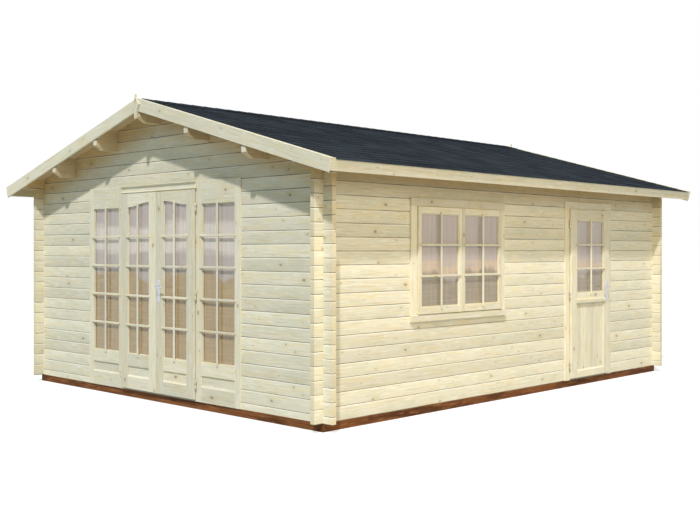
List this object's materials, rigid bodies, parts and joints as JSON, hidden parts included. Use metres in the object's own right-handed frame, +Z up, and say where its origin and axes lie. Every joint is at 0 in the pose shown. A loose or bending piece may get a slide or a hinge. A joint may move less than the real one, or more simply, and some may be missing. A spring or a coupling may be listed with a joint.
{
  "type": "log cabin summer house",
  "caption": "Single-room log summer house with a low pitched felt roof, glazed double doors in the gable front, a casement window and a half-glazed side door.",
  "frame": {"origin": "on the ground at the centre of the plan", "axes": "+Z up, front doors face -Y, side door and window in the +X wall"},
  "size_m": [5.1958, 6.036, 2.9044],
  "materials": {
    "log_wood": "planed untreated spruce",
    "joinery_wood": "planed untreated spruce",
    "treated_wood": "pressure treated, red brown",
    "floor_wood": "planed untreated spruce",
    "roof_covering": "mineral faced bitumen, slate blue black",
    "glass": "clear float glass",
    "hinge_steel": "zinc plated",
    "handle_metal": "satin chrome",
    "threshold": "mill finish"
  },
  "bodies": {
    "house": {"base_side_beams": "treated_wood", "base_end_beams": "treated_wood", "floor_joists": "treated_wood", "floor": "floor_wood", "left_wall": "log_wood", "back_wall": "log_wood", "front_wall_left": "log_wood", "front_wall_right": "log_wood", "front_gable": "log_wood", "right_wall_lower": "log_wood", "right_wall_front": "log_wood", "right_wall_middle": "log_wood", "right_wall_rear": "log_wood", "right_wall_top": "log_wood", "eave_logs": "log_wood", "purlins": "log_wood", "roof_boards_left": "log_wood", "roof_boards_right": "log_wood", "roofing_left": "roof_covering", "roofing_right": "roof_covering", "ridge_cap": "roof_covering", "bargeboards_front": "joinery_wood", "bargeboards_back": "joinery_wood", "fascias": "joinery_wood", "finials": "joinery_wood", "side_window_left": "joinery_wood", "side_window_right": "joinery_wood", "front_door_head": "joinery_wood", "thresholds": "threshold", "frame_hinges": "hinge_steel", "window_frame": "joinery_wood", "window_sashes": "joinery_wood", "window_glass": "glass", "side_door_jambs": "joinery_wood", "side_door_head": "joinery_wood"},
    "front_left_leaf": {"front_door_left": "joinery_wood", "front_door_left_glass": "glass", "front_left_hinges": "hinge_steel"},
    "front_right_leaf": {"front_door_right": "joinery_wood", "front_door_right_glass": "glass", "front_right_hinges": "hinge_steel", "front_door_plates": "handle_metal"},
    "front_lever": {"front_door_lever": "handle_metal"},
    "side_leaf": {"side_door": "joinery_wood", "side_door_glass": "glass", "side_door_hinges": "hinge_steel", "side_door_plates": "handle_metal"},
    "side_lever": {"side_door_lever": "handle_metal"}
  },
  "joints": [
    {"name": "front_left_hinge", "type": "hinge", "parent": "house", "child": "front_left_leaf", "pos_m": [-0.608, -2.7785, 1], "axis": [0, 0, -1], "range_deg": [0, 160]},
    {"name": "front_right_hinge", "type": "hinge", "parent": "house", "child": "front_right_leaf", "pos_m": [0.608, -2.7785, 1], "axis": [0, 0, 1], "range_deg": [0, 160]},
    {"name": "front_lever_turn", "type": "hinge", "parent": "front_right_leaf", "child": "front_lever", "pos_m": [0.049, -2.768, 1.098], "axis": [0, 1, 0], "range_deg": [0, 40], "stiffness_Nm_per_rad": 1.5, "springref_deg": -20.05},
    {"name": "side_hinge", "type": "hinge", "parent": "house", "child": "side_leaf", "pos_m": [2.2785, 0.8405, 1], "axis": [0, 0, -1], "range_deg": [0, 160]},
    {"name": "side_lever_turn", "type": "hinge", "parent": "side_leaf", "child": "side_lever", "pos_m": [2.268, 1.5795, 1.043], "axis": [1, 0, 0], "range_deg": [0, 40], "stiffness_Nm_per_rad": 1.5, "springref_deg": -20.05}
  ]
}
